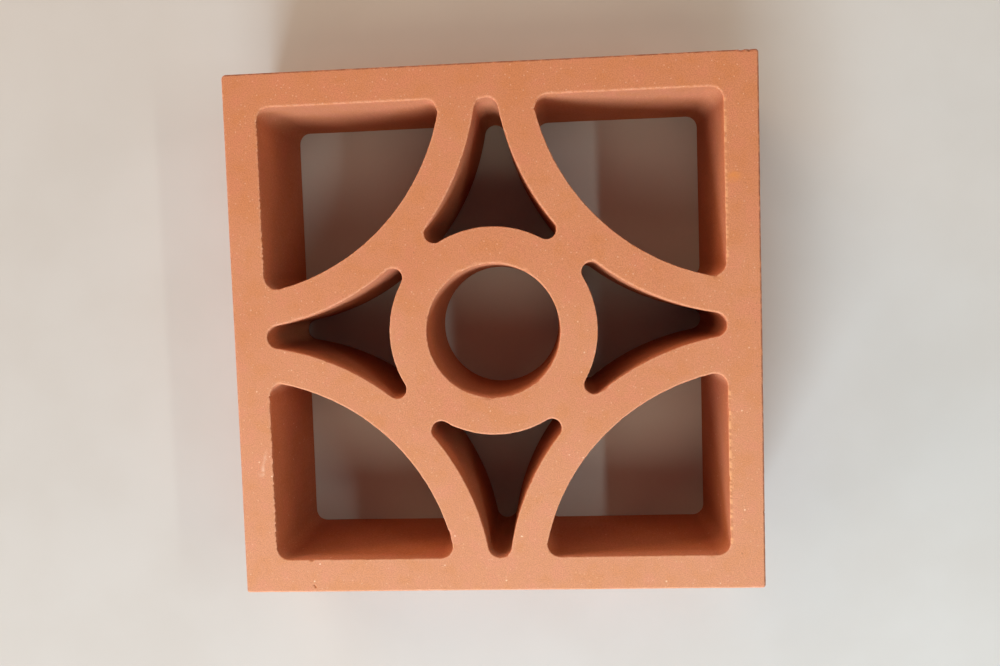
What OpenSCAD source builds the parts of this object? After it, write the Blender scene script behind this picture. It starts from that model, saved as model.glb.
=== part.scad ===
// Fired-clay screen block: a square block pierced right through by four quarter-round
// corner openings, four three-pointed darts and a round centre hole.
// It is one piece of clay and lies on its back face with the openings upright.
// The origin is the middle of the back face, and +Z goes through the openings. Millimetres.

/* [Block] */
// Length of each side of the square face
block_side = 200; // [180:1:230]
// Depth from the front face to the back face
block_depth = 55; // [40:1:100]
// Radius of the block's four upright corners
corner_r = 1.5; // [1:0.1:6]
// Width of the softened edge round every opening and round the block, on both faces
arris_w = 0.7; // [0.2:0.1:0.9]

/* [Lattice] */
// Thickness of the square frame
frame_wall = 13; // [9:0.5:18]
// Thickness of the four quarter-round arches
arch_wall = 13.3; // [9:0.1:18]
// Thickness of the centre ring
ring_wall = 14.2; // [10:0.1:18]
// Diameter of the round hole inside the ring
hole_d = 50.5; // [40:0.5:58]

/* [Rounding] */
// Radius of the three corners of each corner opening
opening_r = 4.8; // [2:0.1:9]
// Radius of the outer tip of each dart
dart_tip_r = 4.5; // [3:0.1:7]
// Radius of the two inner ends of each dart
dart_root_r = 3.6; // [2:0.1:6]

/* [Hidden] */
$fn = 96;

// How far a cutter runs past a face
overrun = 1;
// How far a round end bites into the arc that it runs into, so that the two cross cleanly
bite = 0.002;

half = block_side / 2;
corner = [half, half];
diagonal = norm(corner);

// Each arch is struck from the block's own corner and touches the round tips of two darts.
// A tip stands off the outside by the frame's thickness.
tip_centre = [0, half - frame_wall - dart_tip_r];
arch_outer_r = norm(corner - tip_centre) - dart_tip_r;
arch_inner_r = arch_outer_r - arch_wall;
ring_outer_r = hole_d / 2 + ring_wall;

// Radius at which a dart's inner end touches both the ring and the arch
// and leaves a web of the given width across the diagonal
function root_r_for_web(web) =
    let (
        lean = (arch_outer_r - ring_outer_r) / diagonal,
        along = (diagonal ^ 2 - arch_outer_r ^ 2 + ring_outer_r ^ 2) / (2 * diagonal),
        b = 2 * along * lean + 2 * ring_outer_r - web,
        c = along ^ 2 + web ^ 2 / 4 - ring_outer_r ^ 2
    )
    (b - sqrt(b ^ 2 - 4 * lean ^ 2 * c)) / (2 * lean ^ 2);

// The web that ties the ring to an arch is never thinner than the ring itself
root_r = max(dart_root_r, root_r_for_web(ring_wall));
root_from_ring = ring_outer_r + root_r;
root_from_corner = arch_outer_r + root_r;
root_turn = acos((root_from_ring ^ 2 + diagonal ^ 2 - root_from_corner ^ 2)
                 / (2 * root_from_ring * diagonal));
root_centre = root_from_ring * [cos(45 + root_turn), sin(45 + root_turn)];

// Centres of the three roundings of the corner opening: one in its square corner, two at its ends
opening_inset = half - frame_wall - opening_r;
square_centre = [opening_inset, opening_inset];
end_centre = [
    half - sqrt((arch_inner_r - opening_r) ^ 2 - (frame_wall + opening_r) ^ 2),
    opening_inset
];

function swapped(p) = [p.y, p.x];
function mirrored(p) = [-p.x, p.y];
function toward(from, to, reach) = from + (to - from) * reach / norm(to - from);

// Half section of an upright hole of radius r that opens out by the arris at both faces
module hole_profile(r) {
    flare = arris_w + overrun;
    polygon([
        [0, -overrun], [r + flare, -overrun], [r, arris_w],
        [r, block_depth - arris_w], [r + flare, block_depth + overrun], [0, block_depth + overrun]
    ]);
}

// Half section of a standing post of radius r that draws in by the arris at both faces
module post_profile(r, past) {
    flare = arris_w + past;
    polygon([
        [0, -past], [r - flare, -past], [r, arris_w],
        [r, block_depth - arris_w], [r - flare, block_depth + past], [0, block_depth + past]
    ]);
}

module round_hole(centre, r) {
    translate(centre) rotate_extrude() hole_profile(r);
}

module round_post(centre, r, past = overrun) {
    translate(centre) rotate_extrude() post_profile(r, past);
}

// Prism through the whole depth and past both faces
module shaft(points) {
    translate([0, 0, -overrun]) linear_extrude(block_depth + 2 * overrun) polygon(points);
}

// Straight side of an opening between the centres of two roundings of radius r
module straight_side(from, to, r) {
    translate(from) rotate([90, 0, 90]) linear_extrude(to.x - from.x) hole_profile(r);
}

// Quarter-round opening in the +X +Y corner
module corner_opening() {
    past_arch = arch_inner_r + arch_wall / 2;
    intersection() {
        round_hole(corner, arch_inner_r - bite);
        shaft([
            square_centre, end_centre, toward(corner, end_centre, past_arch),
            corner - [past_arch, past_arch],
            toward(corner, swapped(end_centre), past_arch), swapped(end_centre)
        ]);
    }
    for (centre = [square_centre, end_centre, swapped(end_centre)]) round_hole(centre, opening_r);
    straight_side(end_centre, square_centre, opening_r);
    mirror([1, -1, 0]) straight_side(end_centre, square_centre, opening_r);
}

// Three-pointed dart on the +Y side, left over between two arches and the ring
module dart() {
    in_arch = arch_outer_r - arch_wall / 2;
    in_ring = ring_outer_r - ring_wall / 2;
    right_side = [
        toward(corner, tip_centre, in_arch), toward(corner, root_centre, in_arch),
        root_centre, toward([0, 0], root_centre, in_ring)
    ];
    difference() {
        shaft([tip_centre, each right_side, for (i = [3:-1:0]) mirrored(right_side[i])]);
        round_post(corner, arch_outer_r + bite);
        round_post(mirrored(corner), arch_outer_r + bite);
        round_post([0, 0], ring_outer_r + bite);
    }
    round_hole(tip_centre, dart_tip_r);
    round_hole(root_centre, root_r);
    round_hole(mirrored(root_centre), root_r);
}

// Plain square block with rounded corners and softened edges
module blank() {
    reach = half - corner_r;
    for (turn = [0, 90]) rotate(turn)
        translate([-reach, 0, 0]) rotate([90, 0, 90]) linear_extrude(2 * reach) {
            post_profile(half, 0);
            mirror([1, 0]) post_profile(half, 0);
        }
    for (turn = [0:90:270]) rotate(turn) round_post([reach, reach], corner_r, 0);
}

module screen_block() {
    color("#d98f65") difference() {
        blank();
        for (turn = [0:90:270]) rotate(turn) {
            corner_opening();
            dart();
        }
        round_hole([0, 0], hole_d / 2);
    }
}

screen_block();
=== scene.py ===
import bpy
import numpy as np
from mathutils import Euler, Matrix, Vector
from mathutils.geometry import delaunay_2d_cdt


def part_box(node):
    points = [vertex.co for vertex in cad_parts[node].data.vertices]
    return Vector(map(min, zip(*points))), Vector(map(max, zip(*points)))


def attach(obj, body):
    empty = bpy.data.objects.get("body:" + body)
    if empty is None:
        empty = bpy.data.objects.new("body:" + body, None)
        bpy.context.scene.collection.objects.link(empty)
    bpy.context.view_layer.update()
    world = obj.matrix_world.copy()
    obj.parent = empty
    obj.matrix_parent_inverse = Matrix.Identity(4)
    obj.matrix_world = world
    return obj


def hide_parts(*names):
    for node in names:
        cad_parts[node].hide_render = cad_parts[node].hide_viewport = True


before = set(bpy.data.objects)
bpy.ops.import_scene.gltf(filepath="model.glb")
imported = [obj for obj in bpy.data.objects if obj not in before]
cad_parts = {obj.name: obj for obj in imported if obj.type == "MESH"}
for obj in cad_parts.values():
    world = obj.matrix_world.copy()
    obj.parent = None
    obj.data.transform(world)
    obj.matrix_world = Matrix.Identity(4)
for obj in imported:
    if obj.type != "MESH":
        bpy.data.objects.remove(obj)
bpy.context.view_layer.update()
blockLow, blockHigh = (np.array(corner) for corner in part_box("screen_block"))
half = float(blockHigh[0])
depth = float(blockHigh[2])
print("frame loaded, block", (blockHigh - blockLow).round(4).tolist())

# What the block is made to, in metres. Its side and depth come from the frame.
blockValues = {
    "frameWall": 0.0130,
    "archWall": 0.0133,
    "ringWall": 0.0142,
    "holeAcross": 0.0505,
    "openingRound": 0.0048,      # three corners of a corner opening
    "tipRound": 0.0045,          # outer tip of a dart
    "rootRound": 0.0036,         # two inner ends of a dart
    "cornerRounds": (0.0019, 0.0014, 0.0013, 0.0010),   # upright corners, clockwise from -X +Y
    "arris": 0.0003,             # round of the edges of both faces
    "softArris": 0.0007,         # and of the outer edges and the upper edges of the holes
    "rimStep": 0.0006,           # spacing of points along the front rim
    "fineStep": 0.00028,         # and along the straight sides and the rounds of the openings
    "largestFine": 0.006,        # rounds under this radius get the fine step
    "rimReach": (0.0014, 0.0008, 0.00025),   # fine rows on the face, past the softened edge
    "outerReach": 0.14,          # share of that reach round the outside, within its small corner rounds
    "rimFalls": (0.0005, 0.0013),            # fine rows on the wall, below the softened edge
    "wallStart": 0.0032,         # first coarse row on the wall, below the softened edge
    "wallRows": 9,
    "wallStop": 0.0006,          # last of them, above the foot's softened edge
    "footReach": 0.0002,         # row on the back, past its softened edge
    "faceStep": 0.0026,          # spacing of points on the front face
    "faceClear": 0.0013,         # and how far they keep off the rims
    "backCoarser": 1.6,          # the back's spacing over the front's
    "backClear": 0.0020,
    "chipStep": 0.0003,          # spacing of points round a chip
    "faceGap": 0.01,             # distance to the wall that points out on a face are given
}


def smooth(low, high, x):
    share = np.clip((x - low) / (high - low), 0, 1)
    return share * share * (3 - 2 * share)


# Value noise: a random number at each point of a lattice, blended smoothly between them, from -1 to 1.
def latticeNoise(position, size, seed):
    cell = np.floor(position / size)
    share = position / size - cell
    share = share * share * (3 - 2 * share)
    cell = cell.astype(np.int64)
    total = np.zeros(len(position))
    for corner in range(8):
        step = np.array([corner & 1, corner >> 1 & 1, corner >> 2 & 1])
        at = cell + step
        mixed = at[:, 0] * 73856093 ^ at[:, 1] * 19349663 ^ at[:, 2] * 83492791 ^ seed * 2654435761
        mixed = mixed & 0xFFFFFFFF
        mixed = (mixed ^ mixed >> 15) * 2246822519 & 0xFFFFFFFF
        mixed = (mixed ^ mixed >> 13) * 3266489917 & 0xFFFFFFFF
        mixed = mixed ^ mixed >> 16
        weight = np.where(step == 1, share, 1 - share).prod(1)
        total += weight * (mixed / 0x7FFFFFFF - 1)
    return total


# A circular arc in even steps. Its second array points into the clay, outwards or inwards.
def arcRun(centre, radius, fromDeg, toDeg, clayBeyond=True):
    turn = np.radians(toDeg - fromDeg)
    step = blockValues["fineStep" if radius < blockValues["largestFine"] else "rimStep"]
    count = 4 * max(1, round(radius * abs(turn) / step / 4))
    angle = np.radians(fromDeg) + turn * np.arange(count) / count
    way = np.stack([np.cos(angle), np.sin(angle)], 1)
    return np.array(centre) + radius * way, way if clayBeyond else -way


# A straight run in even steps, with the clay on its right hand.
def lineRun(start, end, step):
    start, end = np.array(start), np.array(end)
    length = np.linalg.norm(end - start)
    count = 4 * max(1, round(length / step / 4))
    way = (end - start) / length
    point = start + np.arange(count)[:, None] / count * (end - start)
    return point, np.tile([way[1], -way[0]], (count, 1))


def bearing(start, end):
    return np.degrees(np.arctan2(end[1] - start[1], end[0] - start[0]))


def joined(runs):
    return np.concatenate([r[0] for r in runs]), np.concatenate([r[1] for r in runs])


def turned(loop, quarters):
    c, s = np.cos(quarters * np.pi / 2), np.sin(quarters * np.pi / 2)
    spin = np.round(np.array([[c, s], [-s, c]]))
    return loop[0] @ spin, loop[1] @ spin


# The ten outlines of the section. Each runs with the open side on its left and the clay on its right.
# Arches are struck from the block's corners and touch the darts' tips; the ring is struck from the middle.
def sectionLoops(v):
    corner = np.array([half, half])
    wall = half - v["frameWall"]
    tip = np.array([0, wall - v["tipRound"]])
    archOuter = np.linalg.norm(corner - tip) - v["tipRound"]
    archInner = archOuter - v["archWall"]
    ringOuter = v["holeAcross"] / 2 + v["ringWall"]

    inset = wall - v["openingRound"]
    reach = np.sqrt((archInner - v["openingRound"]) ** 2 - (half - inset) ** 2)
    squareEnd = np.array([inset, inset])
    endA, endB = np.array([half - reach, inset]), np.array([inset, half - reach])
    toA, toB = bearing(corner, endA) % 360, bearing(corner, endB) % 360
    opening = joined([
        lineRun((wall, endB[1]), (wall, inset), v["fineStep"]),
        arcRun(squareEnd, v["openingRound"], 0, 90),
        lineRun((inset, wall), (endA[0], wall), v["fineStep"]),
        arcRun(endA, v["openingRound"], 90, toA),
        arcRun(corner, archInner, toA, toB),
        arcRun(endB, v["openingRound"], toB, 360),
    ])

    diagonal = half * np.sqrt(2)
    fromRing, fromCorner = ringOuter + v["rootRound"], archOuter + v["rootRound"]
    lean = np.arccos((fromRing ** 2 + diagonal ** 2 - fromCorner ** 2) / (2 * fromRing * diagonal))
    rootRight = fromRing * np.array([np.cos(np.pi / 4 + lean), np.sin(np.pi / 4 + lean)])
    rootLeft, leftCorner = rootRight * (-1, 1), corner * (-1, 1)
    rise = bearing(tip, corner)
    rootRise = bearing(rootRight, corner)
    ringTurn = bearing((0, 0), rootRight)
    dart = joined([
        arcRun(tip, v["tipRound"], rise, 180 - rise),
        arcRun(leftCorner, archOuter, -rise, -rootRise, False),
        arcRun(rootLeft, v["rootRound"], 180 - rootRise, 360 - ringTurn),
        arcRun((0, 0), ringOuter, 180 - ringTurn, ringTurn, False),
        arcRun(rootRight, v["rootRound"], 180 + ringTurn, 360 + rootRise),
        arcRun(corner, archOuter, 180 + rootRise, 180 + rise, False),
    ])

    hole = arcRun((0, 0), v["holeAcross"] / 2, 0, 360)

    outside = []
    for quarter, (round0, round1) in enumerate(zip(v["cornerRounds"], np.roll(v["cornerRounds"], -1))):
        side = joined([
            lineRun((round0 - half, half), (half - round1, half), v["rimStep"]),
            arcRun((half - round1, half - round1), round1, 90, 0, False),
        ])
        outside.append(turned(side, -quarter))
    openings = [turned(opening, quarter) for quarter in range(4)]
    darts = [turned(dart, quarter) for quarter in range(4)]
    return openings + darts + [hole, joined(outside)]


# True where a point lies inside a closed outline: an odd number of its edges is crossed on the way to +X.
def insideLoop(point, outline):
    ax, ay = outline[:, 0], outline[:, 1]
    bx, by = np.roll(ax, -1), np.roll(ay, -1)
    px, py = point[:, :1], point[:, 1:2]
    spans = (ay > py) != (by > py)
    rise = np.where(by == ay, 1e-12, by - ay)
    return (spans & (px < ax + (py - ay) / rise * (bx - ax))).sum(1) % 2 == 1


# True where a point lies in the clay: inside the last outline and outside all the others.
def inSection(point, outlines):
    inClay = insideLoop(point, outlines[-1])
    for outline in outlines[:-1]:
        inClay &= ~insideLoop(point, outline)
    return inClay


# Rows of points, every second one shifted by half a step, so that three neighbours make an even triangle.
def staggered(low, high, step):
    x, y = np.meshgrid(np.arange(low[0], high[0], step), np.arange(low[1], high[1], step * 0.866))
    x = x + step / 2 * (np.arange(len(y)) % 2)[:, None]
    return np.column_stack([x.ravel(), y.ravel()])


# Triangles that fill a face between its outlines, over a staggered grid of points that keep off the edges,
# with a finer grid round each chip.
def faceFill(outlines, step, clear, chips=()):
    grid = staggered((-half, -half), (half, half), step)
    keepOff = np.full(len(grid), clear)
    chipStep = blockValues["chipStep"]
    for x, y, _, long, _, _ in chips:
        reach = 1.6 * long
        fine = staggered((x - reach, y - reach), (x + reach, y + reach), chipStep)
        apart = np.linalg.norm(grid - (x, y), axis=1) > 1.5 * reach
        grid = np.concatenate([grid[apart], fine])
        keepOff = np.concatenate([keepOff[apart], np.full(len(fine), chipStep * 0.6)])
    edge = np.concatenate(outlines)
    near = np.concatenate([np.linalg.norm(part[:, None] - edge[::2], axis=2).min(1)
                           for part in np.array_split(grid, 20)])
    grid = grid[inSection(grid, outlines) & (near > keepOff)]

    ends = np.cumsum([len(outline) for outline in outlines])
    following = np.arange(len(edge)) + 1
    following[ends - 1] = np.append(0, ends[:-1])
    rings = [tuple(pair) for pair in np.column_stack([np.arange(len(edge)), following]).tolist()]
    flat = np.concatenate([edge, grid])
    made = delaunay_2d_cdt([Vector(p) for p in (flat * 1000).tolist()], rings, [], 0, 1e-5)
    source = np.array([o[0] for o in made[3]])
    triangle = source[np.array(made[2])]
    triangle = triangle[inSection(flat[triangle].mean(1), outlines)]
    a, b, c = (flat[triangle[:, i]] for i in range(3))
    flip = (b - a)[:, 0] * (c - a)[:, 1] - (b - a)[:, 1] * (c - a)[:, 0] < 0
    triangle[flip] = triangle[flip][:, ::-1]
    return grid, triangle


# The block's skin: an edge profile carried along every outline, closed by two filled faces.
# With its points come, for each point, the outward normal, the level way out of the wall, how far in from
# the wall it lies, and its shares of the rim, of the tearing, of the beads and of the painted edge shade.
def makeBlock(v, relief):
    loops = sectionLoops(v)
    point = np.concatenate([loop[0] for loop in loops])
    intoClay = np.concatenate([loop[1] for loop in loops])
    counts = np.array([len(loop[0]) for loop in loops])
    starts = np.cumsum(counts) - counts
    fineNext = np.arange(len(point)) + 1
    fineNext[starts + counts - 1] = starts
    coarse = np.arange(0, len(point), 4)
    coarseNext = np.arange(len(coarse)) + 1
    coarseNext[(starts + counts) // 4 - 1] = starts // 4
    ofOpening = np.arange(len(point)) < starts[4]
    ofOutside = np.arange(len(point)) >= starts[-1]
    faceReach = np.where(ofOutside, v["outerReach"], 1.0)
    soft = np.maximum(smooth(0.3, 0.9, intoClay[:, 1]), ofOutside)
    arris = v["arris"] + (v["softArris"] - v["arris"]) * soft

    # Edge profile from face to face. Each row: into the clay in shares of the arris, past it over the face in
    # metres, down in shares of the arris, down in metres, and the lean of the normal from level in degrees.
    bend = np.radians([90, 60, 30, 0])
    rim = [(1, past, 0, 0, 90) for past in v["rimReach"]]
    rim += [(1 - np.cos(b), 0, 1 - np.sin(b), 0, np.degrees(b)) for b in bend]
    rim += [(0, 0, 1, fall, 0) for fall in v["rimFalls"]]
    wallStop = depth - 2 * v["softArris"] - v["wallStop"]
    wall = [(0, 0, 1, fall, 0) for fall in np.linspace(v["wallStart"], wallStop, v["wallRows"])]
    foot = [(1 - np.cos(b), 0, np.sin(b) - 1, depth, -np.degrees(b)) for b in bend[::-1]]
    foot += [(1, v["footReach"], 0, depth, -90)]

    def carried(profile, columns):
        into, past, share, down, lean = np.array(profile, float).T[:, :, None]
        lean = np.radians(lean)
        inwards = intoClay[columns][None] * np.ones((len(profile), 1, 1))
        inset = into * arris[columns] + past * faceReach[columns]
        height = depth - share * arris[columns] - down
        place = np.concatenate([point[columns][None] + inset[:, :, None] * inwards, height[:, :, None]], 2)
        rise = np.sin(lean) * np.ones(len(columns))
        normal = np.concatenate([-np.cos(lean)[:, :, None] * inwards, rise[:, :, None]], 2)
        outward = np.concatenate([-inwards, np.zeros(inset.shape + (1,))], 2)
        return place, normal, outward, inset

    def flatSkin(grid, height, sign):
        count = len(grid)
        place = np.column_stack([grid, np.full(count, height)])
        normal = np.tile([0.0, 0.0, sign], (count, 1))
        return place, normal, np.zeros((count, 3)), np.full(count, v["faceGap"])

    rimSkin = carried(rim, np.arange(len(point)))
    wallSkin = carried(wall + foot, coarse)
    topEdges = np.split(rimSkin[0][0, :, :2], starts[1:])
    lowEdges = np.split(wallSkin[0][-1, :, :2], starts[1:] // 4)
    topGrid, topFill = faceFill(topEdges, v["faceStep"], v["faceClear"], relief["chips"])
    lowGrid, lowFill = faceFill(lowEdges, v["faceStep"] * v["backCoarser"], v["backClear"])
    skins = [rimSkin, wallSkin, flatSkin(topGrid, depth, 1), flatSkin(lowGrid, 0, -1)]
    place, normal, outward = (np.concatenate([s[i].reshape(-1, 3) for s in skins]) for i in range(3))

    # The wire tore the left sides of the openings and dragged a rope of beads over the right ones, more on
    # the near side. Painted shade darkens the outer edges on the right and on the far side, and a little on
    # the left.
    leftSide = smooth(*relief["squareOn"], -intoClay[:, 0]) * ofOpening
    rightSide = smooth(*relief["squareOn"], intoClay[:, 0]) * ofOpening
    torn = np.maximum(relief["tearLeast"], leftSide) * np.where(ofOutside, relief["outerTear"], 1)
    beaded = rightSide * np.where(point[:, 1] > 0, relief["farBeads"], 1)
    edgeShaded = np.clip(-intoClay @ [1, 1], 0, 1) * relief["edgeShadeRight"]
    edgeShaded = edgeShaded + np.clip(intoClay @ [1, 0.3], 0, 1) * relief["edgeShadeLeft"]

    # Shares of each row of the rim, from the face over the edge to the wall; everything else has none.
    rimRows = np.array([0.05, 0.18, 0.6, 1, 1, 1, 1, 0.35, 0.06])
    beadRows = np.array([0.5, 0.8, 1, 1, 1, 0.7, 0.3, 0, 0])
    edgeShadeRows = np.array([0, 0.1, 0.3, 0.7, 1, 1, 1, 0.8, 0.3])
    rest = np.zeros(len(place) - len(rim) * len(point))

    def spread(rows, along):
        return np.concatenate([np.outer(rows, along).ravel(), rest])

    shares = {
        "rimGap": np.concatenate([s[3].ravel() for s in skins]),
        "rim": spread(rimRows, np.where(ofOutside, relief["outerNicks"], 1)),
        "tear": spread(rimRows, torn),
        "bead": spread(beadRows, beaded),
        "edgeShade": spread(edgeShadeRows, edgeShaded * ofOutside),
    }

    # Quads between neighbouring rows; between the fine rim and the wall, five triangles to every four
    # steps of the rim.
    def strips(first, rows, columns, following):
        k = first + np.arange(rows - 1)[:, None] * len(columns)
        i = np.arange(len(columns))[None]
        below = k + len(columns)
        return np.stack([k + i, k + following[None], below + following[None], below + i], 2).reshape(-1, 4)

    wallFirst = len(rim) * len(point)
    quads = np.concatenate([
        strips(0, len(rim), point, fineNext),
        strips(wallFirst, len(wall + foot), coarse, coarseNext),
    ])
    five = np.stack([coarse, coarse + 1, coarse + 2, coarse + 3, fineNext[coarse + 3]], 1)
    above = (len(rim) - 1) * len(point) + five
    below = wallFirst + np.stack([np.arange(len(coarse)), coarseNext], 1)
    stitch = ((0, 1, 5), (1, 2, 5), (2, 6, 5), (2, 3, 6), (3, 4, 6))
    stitches = np.concatenate([np.column_stack([above, below])[:, s] for s in stitch])
    topFirst = wallFirst + len(wall + foot) * len(coarse)
    lowFirst = topFirst + len(topGrid)
    lowRow = wallFirst + (len(wall + foot) - 1) * len(coarse)
    topIndex = np.concatenate([np.arange(len(point)), topFirst + np.arange(len(topGrid))])
    lowIndex = np.concatenate([lowRow + np.arange(len(coarse)), lowFirst + np.arange(len(lowGrid))])
    triangles = np.concatenate([stitches, topIndex[topFill], lowIndex[lowFill][:, ::-1]])
    print("block skin", len(place), "points,", 2 * len(quads) + len(triangles), "triangles")
    return place, normal, outward, shares, quads, triangles


# How the fired surface departs from true, in metres. A size is the grain of the noise that places it.
reliefValues = {
    "faceSag": 0.00012, "sagSize": 0.028,      # the face dips and waves
    "wallWave": 0.00016, "waveSize": 0.035,    # the walls wander
    "tearDepth": 0.00034,        # clay torn out of the rim by the cutting wire
    "tearLeast": 0.24,           # share of it on the rims that the wire left clean
    "outerTear": 0.3,            # and round the outside
    "toothSizes": (0.00055, 0.00095),
    "beadHeight": 0.00012, "beadSize": 0.00074,   # rope of small beads beside the rims on the right
    "farBeads": 0.7,             # share of it on the far half
    "squareOn": (0.985, 0.999),  # cosines of a wall's turn where the wire's marks begin and are full
    "nickDepth": 0.00035, "nickSize": 0.0032,     # scattered nicks
    "outerNicks": 0.4,           # share of them round the outside
    "edgeShadeRight": 0.8, "edgeShadeLeft": 0.25,       # painted shade on the outer edges, right and far or left
    "chipRough": 0.0006,         # grain of the chips' outlines
    # chips in the front face: x, y, turn in degrees, half length, half width, depth
    "chips": (
        (-0.0728, -0.0974, -55, 0.0010, 0.00040, 0.00045),
        (0.0938, 0.0997, 5, 0.0012, 0.0009, 0.0010),
        (0.0967, 0.0996, 40, 0.0010, 0.0007, 0.0009),
        (0.0998, -0.0330, 80, 0.0006, 0.0005, 0.0005),
        (0.0998, -0.0710, 95, 0.0005, 0.0004, 0.0005),
        (0.0710, 0.0998, 0, 0.0014, 0.0004, 0.0004),
    ),
}


# Relief: the rim is torn back into the clay, every point moves along its normal by what was beaded and nicked
# there, and the walls and the face wave slowly. Each is a noise of its own grain, drawn out along the wire's
# way for the teeth and the beads. The outside only ever moves inwards. The beads' noise comes back too.
def weathered(v, place, normal, outward, shares):
    torn = place @ np.array([[0.35, 0.45, 0], [0, 1, 0], [0, 0.4, 0.5]])
    dragged = place @ np.array([[0.6, 0.25, 0], [0, 1, 0], [0, 0.4, 0.5]])
    small, large = v["toothSizes"]
    teeth = 0.6 * latticeNoise(torn, small, 3) + 0.6 * latticeNoise(torn, large, 5)
    beads = latticeNoise(dragged, v["beadSize"], 7)
    tear = v["tearDepth"] * shares["tear"] * np.clip(0.4 + 0.9 * teeth, 0, 1)
    dig = 0.3 * tear + v["beadHeight"] * shares["bead"] * (0.5 - 0.5 * beads)
    nicks = smooth(0.55, 0.9, latticeNoise(place, v["nickSize"], 11))
    dig += v["nickDepth"] * shares["rim"] ** 2 * nicks
    moved = place - normal * dig[:, None] - outward * tear[:, None]

    slow = latticeNoise(place * (1, 1, 0.3), v["waveSize"], 31)[:, None]
    onOutside = (np.abs(place[:, :2]).max(1) > half - 0.002)[:, None]
    moved += outward * v["wallWave"] * np.where(onOutside, 0.5 * slow - 0.5, slow)
    height = place[:, 2] / depth
    moved[:, 2] -= v["faceSag"] * height * (0.5 + 0.5 * latticeNoise(place * (1, 1, 0), v["sagSize"], 41))
    nearFace = place[:, 2] > depth - 0.0015
    for x, y, turn, long, wide, dip in v["chips"]:
        away = place[:, :2] - (x, y)
        c, s = np.cos(np.radians(turn)), np.sin(np.radians(turn))
        ring = np.hypot((away @ (c, s)) / long, (away @ (-s, c)) / wide)
        ring += 0.25 * latticeNoise(place, v["chipRough"], 51)
        moved[:, 2] -= dip * (1 - smooth(0.35, 1, ring)) * nearFace
    return np.clip(moved, blockLow, blockHigh), 0.5 + 0.5 * beads


place, normal, outward, shares, quads, triangles = makeBlock(blockValues, reliefValues)
place, beadTone = weathered(reliefValues, place, normal, outward, shares)

mesh = bpy.data.meshes.new("screenBlock")
mesh.from_pydata(place.tolist(), [], quads.tolist() + triangles.tolist())
mesh.polygons.foreach_set("use_smooth", np.ones(len(mesh.polygons), bool))

# What leads the clay's colours: nearness to a rim, beads, walls, depth down the wall of a hole for the
# painted shade there, and painted shade on the outer edges.
wallShare = 1 - np.abs(normal[:, 2])
inHole = np.abs(place[:, :2]).max(1) < half - 0.003
ofPoint = {
    "rimGap": shares["rimGap"],
    "beadShare": shares["bead"],
    "beadTone": beadTone,
    "wallShare": wallShare,
    "sunkShadeShare": wallShare * inHole * (1 - place[:, 2] / depth),
    "edgeShadeShare": shares["edgeShade"],
}
for name, value in ofPoint.items():
    mesh.attributes.new(name, "FLOAT", "POINT").data.foreach_set("value", value.astype(np.float32))
mesh.validate()
mesh.update()
block = bpy.data.objects.new("screenBlock", mesh)
bpy.context.scene.collection.objects.link(block)
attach(block, "root")
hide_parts("screen_block")
print("block in place")


# A socket of a node tree. Sums on it add Math nodes, and node() adds a node of any other kind.
class Wire:
    def __init__(self, tree, socket=None):
        self.tree = tree
        self.socket = socket

    # Settings go in first, then the values or links of the inputs.
    def node(self, kind, settings=None, inputs=None, output=0):
        made = self.tree.nodes.new("ShaderNode" + kind)
        for name, value in (settings or {}).items():
            setattr(made, name, value)
        for name, value in (inputs or {}).items():
            if isinstance(value, Wire):
                self.tree.links.new(value.socket, made.inputs[name])
            else:
                made.inputs[name].default_value = value
        return Wire(self.tree, made.outputs[output])

    def also(self, output):
        return Wire(self.tree, self.socket.node.outputs[output])

    def math(self, operation, first, second):
        return self.node("Math", {"operation": operation}, {0: first, 1: second})

    def __add__(self, other):
        return self.math("ADD", self, other)

    def __radd__(self, other):
        return self.math("ADD", other, self)

    def __sub__(self, other):
        return self.math("SUBTRACT", self, other)

    def __rsub__(self, other):
        return self.math("SUBTRACT", other, self)

    def __mul__(self, other):
        return self.math("MULTIPLY", self, other)

    def __rmul__(self, other):
        return self.math("MULTIPLY", other, self)


# From 0 at low to 1 at high, easing at both ends; low may be the greater.
def ramp(value, low, high):
    return value.node("MapRange", {"interpolation_type": "SMOOTHSTEP"},
                      {"Value": value, "From Min": low, "From Max": high})


# Cloudy noise from 0 to 1 with blots about size metres across.
def clouds(at, size, detail=2.0):
    return at.node("TexNoise", {}, {"Vector": at, "Scale": 1 / size, "Detail": detail})


# Round spots on a share of scattered points, 1 at their middles.
def spots(at, spacing, radius, share):
    away = at.node("TexVoronoi", {}, {"Vector": at, "Scale": 1 / spacing}, "Distance")
    pick = at.node("SeparateColor", {}, {0: away.also("Color")}, "Red")
    return ramp(away, radius / spacing, 0.4 * radius / spacing) * ramp(pick, 1 - share, 1.02 - share)


# The same pattern taken elsewhere, so that two kinds of spots don't fall together.
def shifted(at, offset):
    return at.node("VectorMath", {}, {0: at, 1: offset}, "Vector")


def blend(factor, first, second):
    return factor.node("Mix", {"data_type": "RGBA"}, {0: factor, 6: first, 7: second}, 2)


# The first colour times the second, by a factor.
def tinted(factor, colour, tint):
    return factor.node("Mix", {"data_type": "RGBA", "blend_type": "MULTIPLY"},
                       {0: factor, 6: colour, 7: (*tint, 1)}, 2)


# A soft oval on the front face, 1 at its middle: place, turn and half sizes in metres.
def oval(at, x, y, turnDeg, long, wide):
    moved = at.node("Mapping", {"vector_type": "TEXTURE"}, {
        "Vector": at, "Location": (x, y, depth), "Rotation": (0, 0, np.radians(turnDeg)),
        "Scale": (long, wide, 0.01)})
    return ramp(at.node("VectorMath", {"operation": "LENGTH"}, {0: moved}, "Value"), 1, 0)


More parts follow.
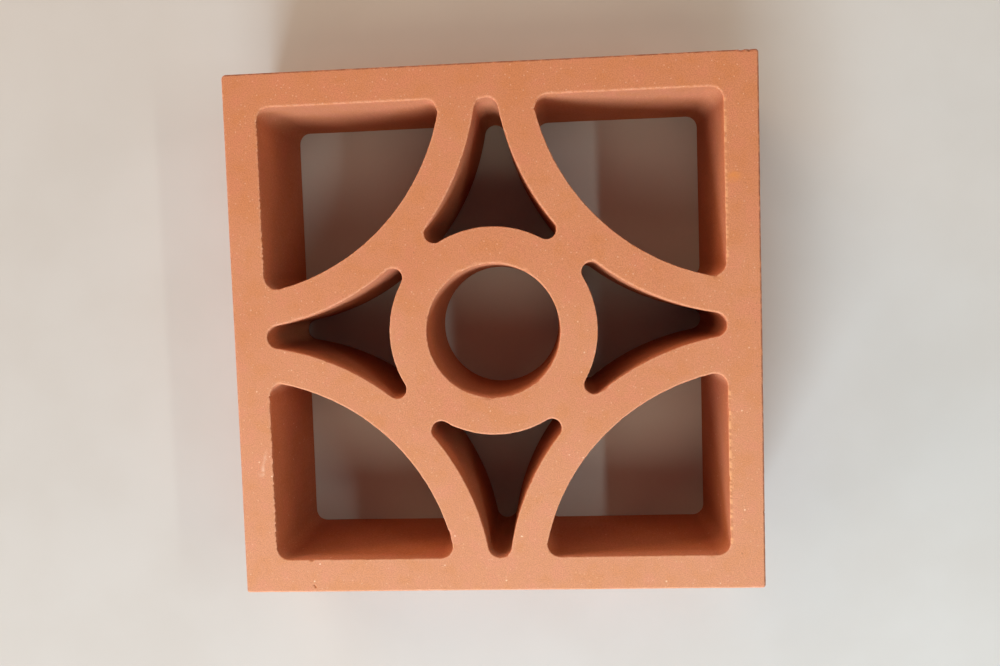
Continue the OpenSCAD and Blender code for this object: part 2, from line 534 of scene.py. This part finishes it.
clayValues = {
    "deep": (0.638, 0.235, 0.109), "pale": (0.705, 0.312, 0.172),   # far and near ends of the face
    "toneSlope": 4.6, "toneSize": 0.045, "toneSway": 0.7,           # change of tone along Y, and its clouds
    "skin": (0.558, 0.194, 0.090),                                  # extruded walls are a deeper red
    "sunkShadeTint": (0.88, 0.75, 0.67),                                 # painted shade: darker and redder down the walls of the openings
    "dragSize": 0.0016, "dragStrength": 0.25,                       # streaks that the die drew down the walls
    "pinkTint": (1.025, 0.99, 1.06), "ochreTint": (0.985, 0.965, 0.875), "mottleSize": 0.0075,
    "grainTint": (0.855, 0.820, 0.80), "grainSize": 0.00045, "grainDepth": 0.00010,
    "lumpSize": 0.0015,                                             # coarser unevenness under the grain
    # specks of grog and iron and small pits: spacing, radius, share of the scattered points that have one
    "fineGrog": (0.0021, 0.00036, 0.9), "coarseGrogAndGlints": (0.0050, 0.00043, 0.7),
    "fineIron": (0.0022, 0.00032, 0.8), "coarseIron": (0.0060, 0.00050, 0.2), "driftSize": 0.02,
    "pits": (0.0032, 0.0004, 0.4),
    # colour of the pale specks, which also serves their painted glints
    "paleSpeckAndGlint": (0.95, 0.68, 0.48), "darkSpeck": (0.36, 0.13, 0.07), "darkStrength": 0.45,
    # pale rim: wear and a painted highlight along the edges
    "wornAndHighlight": (0.79, 0.41, 0.26), "wornHighlightSize": 0.0011, "wornHighlightStrength": 0.34,
    # rope of beads: paler beads as a painted highlight and darker grooves as painted shade, following the
    # beads' relief
    "bead": (0.87, 0.435, 0.205), "grooveShade": (0.57, 0.200, 0.085), "ropeStrength": 0.62,
    # pale scuffs: x, y, turn in degrees, half length, half width, strength
    "scuffs": (
        (-0.0912, -0.0517, 87, 0.0036, 0.0011, 0.85),
        (-0.0902, -0.0468, 75, 0.0046, 0.0010, 0.5),
        (-0.0925, -0.0532, 110, 0.0021, 0.0009, 0.5),
    ),
    "scuffColour": (0.82, 0.50, 0.36), "scuffSize": 0.0014,
    # painted shade on the outer edges: its tint and the grain of its clouds
    "edgeShadeTint": (0.42, 0.36, 0.36), "edgeShadeSize": 0.0030,
    "stain": (0.0903, 0.0544, 20, 0.0042, 0.0034),      # as a scuff
    "stainColour": (0.70, 0.25, 0.065), "stainSize": 0.003, "stainStrength": 0.8,
}


# Fired clay: a slow change of tone down the face, a deeper skin on the walls, painted shade down in the
# openings, pink and ochre mottling, grain, specks of grog and iron with painted glints on the near half, a
# worn rim with a painted highlight, the rope of beads with painted highlight and shade, scuffs, painted shade
# on the outer edges and one stain.
def firedClay(v):
    material = bpy.data.materials.new("firedClay")
    material.use_nodes = True
    tree = material.node_tree
    start = Wire(tree)
    at = start.node("TexCoord", output="Object")
    gap, bead, beadTone, wall, sunk, edgeShade = (
        start.node("Attribute", {"attribute_name": name}, output="Fac")
        for name in ("rimGap", "beadShare", "beadTone", "wallShare", "sunkShadeShare", "edgeShadeShare"))
    up = at.node("SeparateXYZ", {}, {0: at}, "Y")

    tone = 0.5 - up * v["toneSlope"] + (clouds(at, v["toneSize"]) - 0.5) * v["toneSway"]
    face = blend(ramp(tone, 0, 1), (*v["deep"], 1), (*v["pale"], 1))
    dragged = clouds(at.node("Mapping", {}, {"Vector": at, "Scale": (1, 1, 0.03)}), v["dragSize"], 3)
    skin = tinted(ramp(dragged, 0.5, 0.75) * v["dragStrength"], (*v["skin"], 1), v["grainTint"])
    # painted shade, darker and redder the deeper down a wall of an opening
    colour = blend(wall, face, tinted(ramp(sunk, 0.1, 0.7), skin, v["sunkShadeTint"]))
    mottle = clouds(at, v["mottleSize"], 4)
    colour = tinted(ramp(mottle, 0.5, 0.68), colour, v["pinkTint"])
    colour = tinted(ramp(mottle, 0.5, 0.32), colour, v["ochreTint"])
    grain = clouds(at, v["grainSize"], 2)
    colour = tinted(ramp(grain, 0.62, 0.36), colour, v["grainTint"])

    # Pale grog specks lie all over, and on the near half of the face the coarse ones are made brighter as
    # painted glints. Fine iron lies in drifts.
    light = spots(at, *v["fineGrog"]) * 0.27
    light = light + spots(at, *v["coarseGrogAndGlints"]) * (0.22 + 0.6 * ramp(up, 0.05, -0.07))
    light = light * (1 - 0.5 * wall)
    beyond = shifted(at, (0.31, 0.17, 0.23))
    drifts = ramp(clouds(at, v["driftSize"]), 0.48, 0.66)
    dark = spots(beyond, *v["coarseIron"]) + spots(beyond, *v["fineIron"]) * drifts
    colour = blend(light, colour, (*v["paleSpeckAndGlint"], 1))
    colour = blend(dark * v["darkStrength"], colour, (*v["darkSpeck"], 1))

    # Wear with a painted highlight, and beads with painted highlight and shade, lie within two millimetres of
    # a rim, and the painted edge shade is on the outer edges alone.
    broken = ramp(clouds(at, v["wornHighlightSize"], 2), 0.36, 0.62)
    # pale rim: wear and a painted highlight, broken up by clouds and faint on the walls
    wornAndHighlight = ramp(gap, 0.0011, 0.0003) * broken * (1 - 0.88 * wall)
    colour = blend(wornAndHighlight * v["wornHighlightStrength"], colour, (*v["wornAndHighlight"], 1))
    rope = bead * (ramp(gap, 0.0021, 0.0017) * 0.3 + ramp(gap, 0.0012, 0.0008) * 0.7) * (1 - wall)
    # painted highlight on the raised beads and painted shade in the grooves between them
    ropeLitAndShaded = blend(ramp(beadTone, 0.35, 0.65), (*v["grooveShade"], 1), (*v["bead"], 1))
    colour = blend(rope * v["ropeStrength"], colour, ropeLitAndShaded)
    for x, y, turnDeg, long, wide, strength in v["scuffs"]:
        scrape = oval(at, x, y, turnDeg, long, wide) * ramp(clouds(at, v["scuffSize"], 2), 0.30, 0.62)
        colour = blend(scrape * strength, colour, (*v["scuffColour"], 1))
    # painted shade: the outer edges darker on the right and far side, which face away from the window
    paintedEdgeShade = edgeShade * ramp(clouds(at, v["edgeShadeSize"], 3), 0.25, 0.60)
    colour = tinted(paintedEdgeShade, colour, v["edgeShadeTint"])
    stained = oval(at, *v["stain"]) * ramp(clouds(at, v["stainSize"], 2), 0.3, 0.6)
    colour = blend(stained * v["stainStrength"], colour, (*v["stainColour"], 1))

    pits = spots(shifted(at, (0.11, 0.29, 0.07)), *v["pits"])
    height = grain * 0.8 + clouds(at, v["lumpSize"], 2) * 0.7 + light * 0.25 - pits * 0.5
    height = height * (1 - 0.3 * wall)
    bump = height.node("Bump", {}, {"Height": height, "Distance": v["grainDepth"], "Strength": 1.0}, "Normal")
    shader = tree.nodes["Principled BSDF"]
    shader.inputs["Specular IOR Level"].default_value = 0.3
    tree.links.new(colour.socket, shader.inputs["Base Color"])
    tree.links.new((0.86 + grain * 0.14 - wall * 0.06).socket, shader.inputs["Roughness"])
    tree.links.new(bump.socket, shader.inputs["Normal"])
    return material


mesh.materials.append(firedClay(clayValues))
print("clay finished")

floorValues = {
    "across": 3.0,
    # painted light: the floor's colour on the left and on the right
    "leftPaintedLight": (0.562, 0.530, 0.503), "rightPaintedLight": (0.640, 0.624, 0.608),
    "cloudTint": (0.965, 0.955, 0.945), "cloudSize": 0.06,
}


# Pale floor with painted light: warmer and darker on the left and lighter on the right, with faint clouds.
def paleFloor(v):
    material = bpy.data.materials.new("paleFloor")
    material.use_nodes = True
    tree = material.node_tree
    at = Wire(tree).node("TexCoord", output="Object")
    across = at.node("SeparateXYZ", {}, {0: at}, "X")
    floorPaintedLight = blend(ramp(across, -0.2, 0.2), (*v["leftPaintedLight"], 1), (*v["rightPaintedLight"], 1))
    colour = tinted(ramp(clouds(at, v["cloudSize"], 4), 0.35, 0.7), floorPaintedLight, v["cloudTint"])
    shader = tree.nodes["Principled BSDF"]
    shader.inputs["Roughness"].default_value = 0.8
    shader.inputs["Specular IOR Level"].default_value = 0.2
    tree.links.new(colour.socket, shader.inputs["Base Color"])
    return material


floorEdge = floorValues["across"] / 2
floorCorners = [(x * floorEdge, y * floorEdge, 0) for x, y in ((-1, -1), (1, -1), (1, 1), (-1, 1))]
floorMesh = bpy.data.meshes.new("floor")
floorMesh.from_pydata(floorCorners, [], [(0, 1, 2, 3)])
floorMesh.materials.append(paleFloor(floorValues))
floor = bpy.data.objects.new("floor", floorMesh)
bpy.context.scene.collection.objects.link(floor)

cameraValues = {
    "place": (0.02190, 0.01713, 0.36173), "turnDeg": (-3.452, 3.484, -1.860),
    "lens": 29.40, "sensor": 36,
}
cameraData = bpy.data.cameras.new("camera")
cameraData.sensor_width = cameraValues["sensor"]
cameraData.lens = cameraValues["lens"]
camera = bpy.data.objects.new("camera", cameraData)
camera.location = cameraValues["place"]
camera.rotation_euler = Euler(np.radians(cameraValues["turnDeg"]))
bpy.context.scene.collection.objects.link(camera)
bpy.context.scene.camera = camera

# A cool window on the near side, a little to the left, and warm light off the ceiling above it. Dimmer light
# comes from the left, from the far left low and high, from the far right, from the far side and from the
# right. A narrow strip high on the right throws the sharp step of tone inside the openings.
# Each lamp: bearing in degrees from -Y towards -X, rise in degrees, width and height, power, colour.
lightValues = {
    "away": 1.4,
    "lamps": {
        "window": (10, 25, 0.62, 0.50, 29.1, (0.725, 0.880, 1.0)),
        "ceiling": (4, 58.5, 1.50, 0.45, 5.0, (1.0, 0.86, 0.65)),
        "leftSide": (80, 17, 1.0, 0.70, 7.9, (1.0, 0.80, 0.64)),
        "farLeft": (138, 14.5, 0.80, 0.38, 7.8, (1.0, 0.645, 0.41)),
        "farLeftHigh": (138, 42, 0.90, 0.60, 3.1, (1.0, 0.71, 0.44)),
        "farRightHigh": (-142, 44, 0.90, 0.60, 1.6, (1.0, 0.75, 0.48)),
        "farSide": (180, 5, 0.80, 0.22, 6.6, (0.74, 0.86, 1.0)),
        "rightSide": (-90, 16, 0.90, 0.45, 3.4, (1.0, 0.54, 0.28)),
        "rightStrip": (-90, 50.3, 0.70, 0.05, 2.7, (0.87, 1.0, 0.935)),
    },
    "room": (0.046, 0.056, 0.065),
}
for name, (bearingDeg, riseDeg, wide, tall, power, tint) in lightValues["lamps"].items():
    turn, rise = np.radians(bearingDeg), np.radians(riseDeg)
    way = Vector((-np.sin(turn) * np.cos(rise), -np.cos(turn) * np.cos(rise), np.sin(rise)))
    lampData = bpy.data.lights.new(name, "AREA")
    lampData.shape = "RECTANGLE"
    lampData.size = wide
    lampData.size_y = tall
    lampData.energy = power
    lampData.color = tint
    lamp = bpy.data.objects.new(name, lampData)
    lamp.location = way * lightValues["away"]
    lamp.rotation_euler = way.to_track_quat("Z", "Y").to_euler()
    bpy.context.scene.collection.objects.link(lamp)

world = bpy.data.worlds.new("room")
world.use_nodes = True
world.node_tree.nodes["Background"].inputs["Color"].default_value = (*lightValues["room"], 1)
bpy.context.scene.world = world
bpy.context.scene.view_settings.view_transform = "Standard"
print("floor, camera and lights set")
